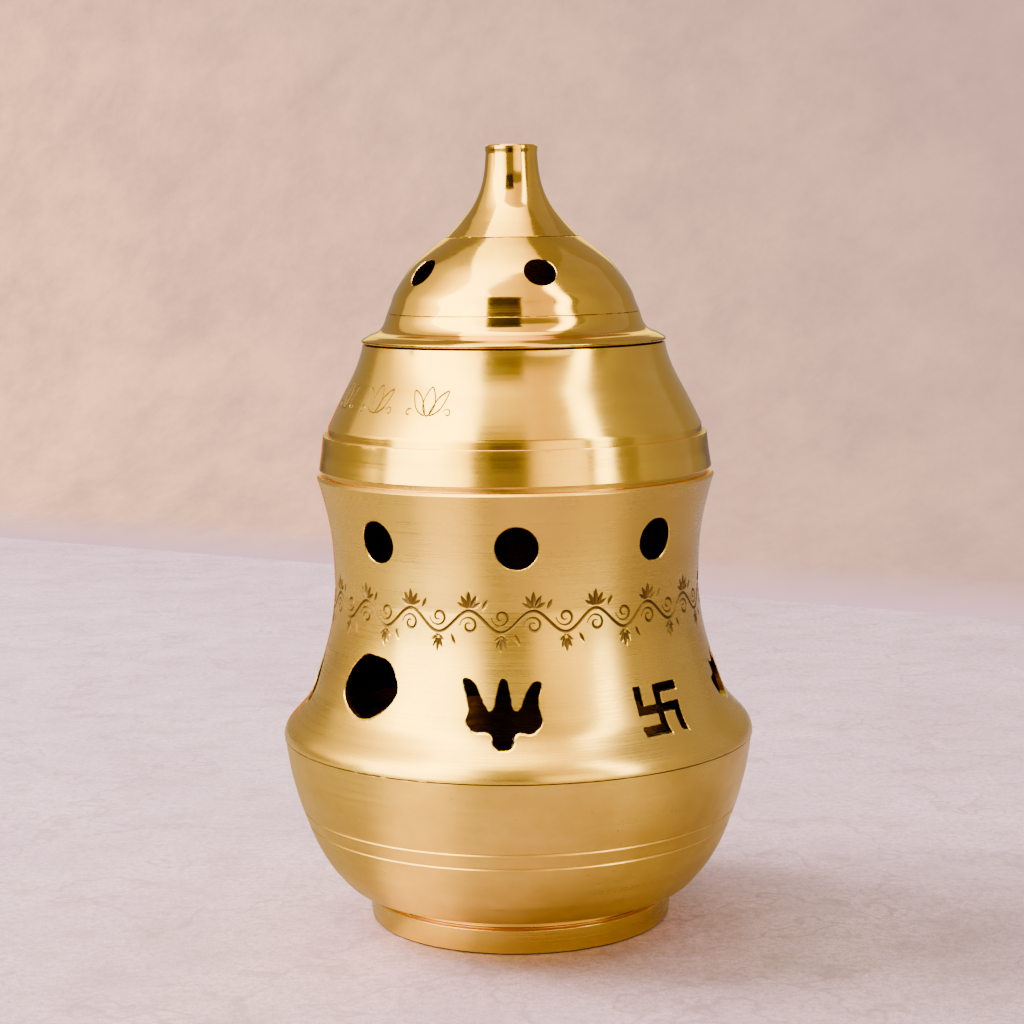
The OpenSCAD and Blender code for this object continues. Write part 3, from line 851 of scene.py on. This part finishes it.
def make_wick():
    """Three strands of cotton, twisted together."""
    strand_r, lay_r, pitch, rings, sides = 1.2, 1.08, 11.0, 150, 14
    strands = []
    for k in range(3):
        verts = []
        for i in range(rings):
            t = i / (rings - 1)
            z = WICK_Z + 0.1 + (WICK_TOP - WICK_Z - 0.3) * t
            a = 2 * math.pi * (k / 3 + (z - WICK_Z) / pitch)
            taper = 1 if t < 0.93 else 1 - 0.6 * ((t - 0.93) / 0.07) ** 2
            for s in range(sides):
                b = 2 * math.pi * s / sides
                fuzz = 1 + 0.05 * math.sin(7 * b + z * 5.1 + k) + 0.04 * math.sin(3 * b - z * 9.7)
                rr = strand_r * taper * fuzz
                verts.append(Vector((lay_r * taper * math.cos(a) + rr * math.cos(b),
                                     lay_r * taper * math.sin(a) + rr * math.sin(b), z)) * MM)
        faces = []
        for a in range(0, (rings - 1) * sides, sides):
            b = a + sides
            faces += [(a + s, a + (s + 1) % sides, b + (s + 1) % sides, b + s) for s in range(sides)]
        faces += [tuple(range(sides - 1, -1, -1)), tuple(range((rings - 1) * sides, rings * sides))]
        strands.append(new_object("wick_strand", verts, faces))
    wick = strands[0]
    # Known fault: the joined mesh keeps an empty first slot, which all its faces use, so COTTON,
    # which comes second, doesn't show. Clearing the slots after the join would show it.
    for other in strands[1:]:
        combine("UNION", wick, other)
    wick.name = wick.data.name = "cotton_wick_twisted"
    shade(wick, 60)
    finish_piece(wick, "wick", "cotton", ["cotton_wick"], COTTON)


def make_shield():
    inner = within(inset(SHIELD, WALL), SPIGOT_TOP + 1.5, LIP_Z - BORE_H - 0.5)
    shield = lathe("wind_shield_pierced", SHIELD + [
        (LIP_R - 0.6, LIP_Z), (BORE_R, LIP_Z), (BORE_R, LIP_Z - BORE_H)] + inner[::-1] + [
        (SPIGOT_R + PLAY, SPIGOT_TOP + 0.4), (SPIGOT_R + PLAY, RIM_Z)],
        columns=512, step=1.0, nicks=[(RIM_Z, RIM_R - 1, 0.16)])
    cuts = [wall_cutter(circle(VENT_R), k * 360 / VENTS, VENT_Z, SHIELD, k,
                        inside=-12, chamfer=0.2, wander=0.05)
            for k in range(VENTS)]
    cuts += [wall_cutter(outline, turn, MOTIF_Z + lift, SHIELD, 40 + k,
                         inside=-14, chamfer=0.25, wander=0.16)
             for k, (turn, lift, outline) in enumerate(MOTIFS)]
    subtract(shield, [merged("cut_outs", cuts)] + vine_cutters(SHIELD))
    paint_wall(shield, SHIELD, carved=VINE_SPAN)
    # Painted shade: the seam where the shield sits on the bowl gets the near black seam brass.
    paint_seam_shade(shield, 4, [(RIM_Z - 1, RIM_Z + 0.2, RIM_R - 3, 1)])
    finish_piece(shield, "shield", "satin_brass", ["wind_shield"], SATIN, AGED_AND_SHADED, SAWN, CARVED, SEAM_SHADE)


def make_shoulder():
    plug_r, seat_out = BORE_R - PLAY, BORE_R + 0.8
    inner_r = plug_r - WALL
    band = lathe("shoulder_band_turned", [
        (inner_r, LIP_Z - 4.5), (plug_r, LIP_Z - 4.5), (plug_r, LIP_Z), (seat_out, LIP_Z),
        (seat_out, BAND_Z), (BAND_R - 0.1, BAND_Z), (BAND_R, BAND_Z + 0.4),
        ((BAND_R + BAND_TOP_R) / 2, BAND_Z + 4.6), (BAND_TOP_R, BAND_TOP_Z), (SKIRT_R, BAND_TOP_Z),
        (SKIRT_R, SOCKET_Z), (inner_r, SOCKET_Z)], columns=512, ease=0.22,
        nicks=[(BAND_TOP_Z, BAND_TOP_R - 0.6, 0.1)])
    finish_piece(band, "shoulder", "satin_brass", ["shoulder_band"], BAND)

    inner = within(inset(SHOULDER, WALL), BAND_TOP_Z + 2.4, LEDGE_Z - 4)
    dome = lathe("shoulder_dome_spun", [(SKIRT_R, SOCKET_Z), (SKIRT_R, BAND_TOP_Z - 0.6)] + SHOULDER + [
        (SEAT_R, MOUTH_Z), (SEAT_R, LEDGE_Z), (LEDGE_R, LEDGE_Z), (LEDGE_R, LEDGE_Z - 2),
        (LEDGE_R + 2, LEDGE_Z - 3)] + inner[::-1] + [(SKIRT_R - WALL, SOCKET_Z)],
        columns=512, step=1.0)
    subtract(dome, sprig_cutters(SHOULDER))
    paint_wall(dome, SHOULDER, carved=SPRIG_SPAN)
    finish_piece(dome, "shoulder", "satin_brass", ["shoulder_dome"], BAND, AGED_AND_SHADED, BAND, CARVED)


def make_cup():
    cup_r, thick = LEDGE_R - PLAY, 1
    outer = smooth([(cup_r - 11, CUP_Z), (cup_r - 4, CUP_Z + 1.6), (cup_r - 1, CUP_Z + 6),
                    (cup_r, LEDGE_Z)])
    cup = lathe("dhoop_cup_spun", [(0, CUP_Z)] + outer + [
        (SEAT_R - PLAY, LEDGE_Z), (SEAT_R - PLAY, LEDGE_Z + thick), (cup_r - thick, LEDGE_Z + thick)]
        + within(inset(outer, thick), 0, LEDGE_Z - 1)[::-1] + [(0, CUP_Z + thick)], columns=256)
    finish_piece(cup, "cup", "plain_brass", ["dhoop_cup"], PLAIN)


def make_lid():
    plug_r, flange_r, gap = SEAT_R - PLAY, MOUTH_R + 0.2, 0.5
    plug_z = LEDGE_Z + 1.4
    rim = lathe("lid_rim_turned", [
        (plug_r, plug_z), (plug_r, MOUTH_Z), (plug_r + 0.7, MOUTH_Z), (plug_r + 0.9, MOUTH_Z + gap),
        (flange_r - 0.3, MOUTH_Z + gap), (flange_r, MOUTH_Z + gap + 0.3), (flange_r, MOUTH_Z + 1.3),
        (flange_r - 0.5, MOUTH_Z + 1.7)] + seamed(LID_FLARE, top=True) + [
        (DOME_R - WALL, JOINT_Z), (DOME_R - 0.3, MOUTH_Z + 4), (plug_r - 2.1, MOUTH_Z + 1.1),
        (plug_r - WALL, plug_z)],
        columns=512, ease=0.25, step=1.0)
    # Painted shade in the gap under the flange, and along the joint with the dome, where it also stands
    # for the joint's own dark line.
    paint_seam_shade(rim, 1, [(MOUTH_Z - 0.3, MOUTH_Z + gap + 0.12, plug_r - 0.1, 1),
                         (JOINT_Z - 0.11, JOINT_Z + 0.1, DOME_R - 1, 0.6)])
    finish_piece(rim, "lid", "bright_brass", ["lid_rim"], BRIGHT, SEAM_SHADE)

    inner = within(inset(DOME, WALL), JOINT_Z + 1, SPOUT_Z - WALL)
    dome = lathe("lid_dome_pierced", seamed(DOME, foot=True, top=True) + [
        (SPOUT_FOOT_R - 2, SPOUT_Z), (SPOUT_FOOT_R - 1.6, SPOUT_Z - 1.1)] + inner[::-1] + [
        (DOME_R - WALL, JOINT_Z)],
        columns=768, ease=0.12, step=0.8)
    cuts = [wall_cutter(circle(DOME_HOLE_R), turn, DOME_HOLE_Z, DOME, 70 + k,
                        inside=-9, chamfer=0.15, wander=0.06, tilt_deg=DOME_HOLE_TILT)
            for k, turn in enumerate(DOME_HOLE_TURNS)]
    subtract(dome, [merged("holes", cuts)])
    paint_wall(dome, DOME)
    # Painted shade along the joints with the rim and the spout, which also stands for the joints' own
    # dark line.
    paint_seam_shade(dome, 3, [(JOINT_Z - 0.1, JOINT_Z + 0.11, DOME_R - 1, 0.6),
                          (SPOUT_Z - 0.11, SPOUT_Z + 0.1, SPOUT_FOOT_R - 1, 0.7)])
    finish_piece(dome, "lid", "bright_brass", ["lid_dome"], BRIGHT, AGED_AND_SHADED, SAWN, SEAM_SHADE)

    bead, thick = 0.15, 1.4
    side = seamed(within(SPOUT, SPOUT_Z - 1, TOP_Z - 2.2), foot=True)
    inner = within(inset(SPOUT, thick), SPOUT_Z + 1, TOP_Z - 2)
    spout = lathe("lid_spout_turned", side + [
        (SPOUT_R + bead, TOP_Z - 1.5), (SPOUT_R + bead, TOP_Z - 0.4), (SPOUT_R - 0.3, TOP_Z),
        (SPOUT_R - thick + 0.2, TOP_Z), (SPOUT_R - thick, TOP_Z - 0.4)] + inner[::-1] + [
        (SPOUT_FOOT_R - 2, SPOUT_Z)],
        columns=384, ease=0.15, step=0.8)
    # Painted shade along the joint with the dome, which also stands for the joint's own dark line.
    paint_seam_shade(spout, 1, [(SPOUT_Z - 0.1, SPOUT_Z + 0.11, SPOUT_FOOT_R - 1, 0.7)])
    finish_piece(spout, "lid", "bright_brass", ["lid_spout"], BRIGHT, SEAM_SHADE)


make_foot_ring()
make_oil_bowl()
make_wick_stand()
make_wick()
make_shield()
make_shoulder()
make_cup()
make_lid()


# ---- Stage, lights and camera ----

AIM = Vector((0, 0, 0.11))
WARM = (1.0, 0.86, 0.72)


def from_object(azimuth, elevation, distance):
    """A point seen from the lamp: azimuth 0 is the front, and positive is towards +X."""
    a, e = math.radians(azimuth), math.radians(elevation)
    return AIM + distance * Vector((math.sin(a) * math.cos(e), -math.cos(a) * math.cos(e), math.sin(e)))


def facing_aim(obj, place):
    obj.location = place
    obj.rotation_mode = "QUATERNION"
    obj.rotation_quaternion = (AIM - place).to_track_quat("-Z", "Y")


def softbox(name, azimuth, elevation, distance, width, height, watts):
    """A warm soft light that the brass doesn't reflect."""
    data = bpy.data.lights.new(name, "AREA")
    data.shape = "RECTANGLE"
    data.size, data.size_y, data.energy, data.color = width, height, watts, WARM
    lamp = bpy.data.objects.new(name, data)
    bpy.context.scene.collection.objects.link(lamp)
    facing_aim(lamp, from_object(azimuth, elevation, distance))
    lamp.visible_glossy = False


def blend_along(tree, place, axis, start, end, a, b):
    """Colour a before start, b after end, and a blend between, along object axis 0, 1 or 2."""
    parts = node(tree, "SeparateXYZ", Vector=place)
    return tinted(tree, a, b, parts.outputs[axis], start, end)


def only_glow(tree, shader, colour, strength=1.0):
    """Makes a surface that gives off light and reflects none."""
    fill(tree, shader, Emission_Color=colour, Emission_Strength=strength, Base_Color=rgb(0, 0, 0),
         Specular_IOR_Level=0.0)


def board(name, azimuth, elevation, distance, width, height, stops, axis=0):
    """A glowing board that only the brass sees.

    stops are (share of the way along, light it gives off), along its width, or its height for axis 1."""
    w, h = width / 2, height / 2
    made_of, tree, shader, place = material(name)
    parts = node(tree, "SeparateXYZ", Vector=place)
    reach = (w, h)[axis]
    share = ranged(tree, parts.outputs[axis], -reach, reach, 0.0, 1.0)
    most = max(max(light) for _, light in stops)
    ramp = node(tree, "ValToRGB", Fac=share)
    ramp.color_ramp.elements.remove(ramp.color_ramp.elements[1])
    for i, (at, light) in enumerate(stops):
        stop = ramp.color_ramp.elements.new(at) if i else ramp.color_ramp.elements[0]
        stop.position, stop.color = at, rgb(*(c / most for c in light))
    only_glow(tree, shader, ramp.outputs[0], most)
    made = new_object(name, [(-w, -h, 0), (w, -h, 0), (w, h, 0), (-w, h, 0)], [(0, 1, 2, 3)])
    made.data.materials.append(made_of)
    facing_aim(made, from_object(azimuth, elevation, distance))
    made.visible_camera = made.visible_shadow = made.visible_diffuse = False


def disc(name, radius_m, height, made):
    """A flat round floor about the axis."""
    sides = 96
    turns = [k * 2 * math.pi / sides for k in range(sides)]
    verts = [(radius_m * math.sin(a), -radius_m * math.cos(a), height) for a in turns]
    ground = new_object(name, verts, [tuple(range(sides))])
    ground.data.materials.append(made)
    return ground


def make_floor():
    """A pale stone floor, with clouds, stains, specks, grit and thin veins."""
    stone, tree, shader, place = material("floor")
    cloud = noise(tree, place, 14, 7.0, 0.68)
    colour = tinted(tree, rgb(0.72, 0.49, 0.74), rgb(1.0, 0.70, 1.0), cloud, 0.32, 0.68)
    stain = noise(tree, place, (45, 60, 60), 8.0, 0.75)
    colour = tinted(tree, colour, rgb(0.52, 0.35, 0.45), stain, 0.48, 0.68, 0.75)
    speck = noise(tree, place, 420, 4.0, 0.7)
    colour = tinted(tree, colour, rgb(0.47, 0.33, 0.44), speck, 0.42, 0.66, 0.7)
    grit = noise(tree, place, 1500, 1.0)
    colour = tinted(tree, colour, rgb(0.38, 0.26, 0.34), grit, 0.5, 0.75, 0.7)
    ridge = maths(tree, "SUBTRACT", noise(tree, place, 11, 4.0, 0.6), 0.5)
    vein = ranged(tree, maths(tree, "ABSOLUTE", ridge), 0.0, 0.01, 0.6, 0.0)
    colour = mixed(tree, vein, colour, rgb(0.45, 0.29, 0.42))
    bump = node(tree, "Bump", Strength=0.4, Distance=0.0006, Height=speck)
    fill(tree, shader, Base_Color=colour, Roughness=0.6, Normal=bump.outputs[0])
    floor = disc("floor", 4, 0, stone)
    floor.visible_glossy = False


def make_wall():
    """A mottled wall that glows by itself and sweeps up out of the floor, beyond a line that runs back
    to the left. Its glow is painted light: brighter to the left, dimmer and bluer higher up, and floor
    coloured at its foot.
    """
    wall, tree, shader, place = material("wall")
    mottle = noise(tree, place, 14, 8.0, 0.75)
    # Painted light: the glow falls off from the left, where the key light stands, towards the right.
    pale = blend_along(tree, place, 0, -0.5, 0.5, rgb(2.75, 1.3, 0.7), rgb(1.0, 0.57, 0.48))
    high_up = blend_along(tree, place, 2, 0.05, 0.4, rgb(1, 1, 1), rgb(0.8, 0.84, 0.92))
    fading = mixed(tree, 1.0, pale, high_up)
    fading.node.blend_type = "MULTIPLY"
    cloudy = tinted(tree, fading, rgb(0.7, 0.42, 0.36), mottle, 0.36, 0.64, 0.5)
    foot = blend_along(tree, place, 2, 0.0, 0.012, rgb(1.5, 0.82, 0.95), cloudy)
    only_glow(tree, shader, foot)

    start, along, back = Vector((0.19, 0.51, 1e-5)), Vector((-0.86, 0.51, 0)), Vector((0.51, 0.86, 0))
    rows, half, steepness = [0.05 * k for k in range(30)], 4, 4
    verts = [start + along * t + back * d + Vector((0, 0, steepness * d * d))
             for d in rows for t in (-half, half)]
    faces = [(k, k + 1, k + 3, k + 2) for k in range(0, 2 * len(rows) - 2, 2)]
    sweep = new_object("sweep", verts, faces)
    sweep.data.shade_smooth()
    sweep.data.materials.append(wall)
    sweep.visible_glossy = sweep.visible_diffuse = sweep.visible_shadow = False


def make_reflected_floor():
    """The floor that only the brass sees: lit at the front left and right, and dim elsewhere."""
    dim, tree, shader, place = material("floor_reflected")
    heading = node(tree, "VectorMath", _0=place)
    heading.operation = "NORMALIZE"

    def towards(azimuth, start_dot, end_dot):
        """How far a place on the floor lies towards an azimuth, from 0 to 1."""
        a = math.radians(azimuth)
        lit = node(tree, "VectorMath", _0=heading.outputs[0], _1=(math.sin(a), -math.cos(a), 0))
        lit.operation = "DOT_PRODUCT"
        return ranged(tree, lit.outputs["Value"], start_dot, end_dot, 0.0, 1.0)

    plain = blend_along(tree, place, 0, -0.07, -0.02, rgb(0.17, 0.165, 0.15), rgb(0.40, 0.37, 0.38))
    tone = mixed(tree, towards(-40, 0.93, 0.995), plain, rgb(0.9, 0.82, 0.35))
    side = blend_along(tree, place, 0, 0.03, 0.3, tone, rgb(0.17, 0.17, 0.32))
    strip = mixed(tree, towards(48, 0.94, 0.995), side, rgb(0.45, 0.42, 0.3))
    fill(tree, shader, Base_Color=strip, Roughness=0.9)
    mirror = disc("floor_reflected", 4, 1e-4, dim)
    mirror.visible_camera = mirror.visible_diffuse = mirror.visible_shadow = False


def make_lights():
    """Lights for the floor, and boards for the windows and the room that the brass reflects."""
    softbox("key", -104, 42, 1.5, 0.9, 1.0, 62)
    softbox("top", 0, 88, 1.5, 1.2, 1.2, 9)
    softbox("far_side", 120, 40, 1.6, 1.0, 1.0, 7)
    softbox("behind", -160, 40, 1.6, 1.0, 1.0, 7)

    white, yellow, gold = (14, 14.2, 8), (9.4, 8.6, 0.6), (4.7, 3.8, 0.08)
    sunny, amber, dim = (3.5, 2.75, 0.04), (2.0, 1.4, 0.02), (0.5, 0.46, 0.5)
    black = (0.02, 0.008, 0.002)
    board("key_board", -52, 36, 1.5, 1.66, 2.1, [
        (0, yellow), (0.12, white), (0.62, white), (0.86, yellow), (1, gold)])
    board("left_board", -104, 42, 1.45, 1.15, 2.0, [
        (0, (1.0, 0.9, 0.5)), (0.45, (1.8, 1.5, 0.3)), (0.72, gold), (1, yellow)])
    board("strip_board", 52, 32, 1.4, 0.34, 1.5, [(0, gold), (0.3, white), (0.75, white), (1, gold)])
    board("amber_board", 10, 54, 1.5, 1.5, 1.0, [(0, gold), (0.3, sunny), (0.6, amber), (1, amber)])
    board("front_board", 25, 9, 1.45, 0.86, 0.62, [
        (0, (1.3, 1.1, 0.1)), (0.25, sunny), (0.7, gold), (1, gold)])
    board("top_board", -54, 84, 1.5, 1.5, 1.3, [(0, white), (0.5, yellow), (1, amber)], axis=1)
    board("right_board", 100, 30, 1.6, 1.6, 2.0, [(0, (0.7, 0.62, 0.4)), (0.4, dim), (1, dim)])
    board("behind_board", 180, 30, 1.5, 0.9, 1.1, [(0, amber), (0.5, gold), (1, amber)])
    board("dark_board", -9.5, 37, 0.85, 0.40, 0.31, [(0, black), (1, black)])
    board("slot_board", -5, 2.5, 0.8, 0.27, 0.2, [(0, black), (1, black)])
    board("flower_board", -170, -5, 0.3, 0.2, 0.14, [(0, (0.8, 0.17, 0.01)), (1, (1.0, 0.26, 0.02))])
    world = bpy.data.worlds.new("room")
    bpy.context.scene.world = world
    world.use_nodes = True
    back = world.node_tree.nodes["Background"]
    back.inputs[0].default_value = (1.0, 0.88, 0.6, 1)
    back.inputs[1].default_value = 0.4


def make_camera():
    """The photograph's view, fitted to the lamp's outline."""
    data = bpy.data.cameras.new("camera")
    data.lens, data.sensor_width = 77.7, 36
    camera = bpy.data.objects.new("camera", data)
    bpy.context.scene.collection.objects.link(camera)
    pitch, roll = math.radians(90 - 7.36), math.radians(-0.72)
    turn = Matrix.Rotation(pitch, 4, "X") @ Matrix.Rotation(roll, 4, "Z")
    spot = (-0.0011, -0.6434, 0.2029)
    camera.matrix_world = Matrix.Translation(spot) @ turn
    bpy.context.scene.camera = camera


make_floor()
make_wall()
make_reflected_floor()
make_lights()
make_camera()
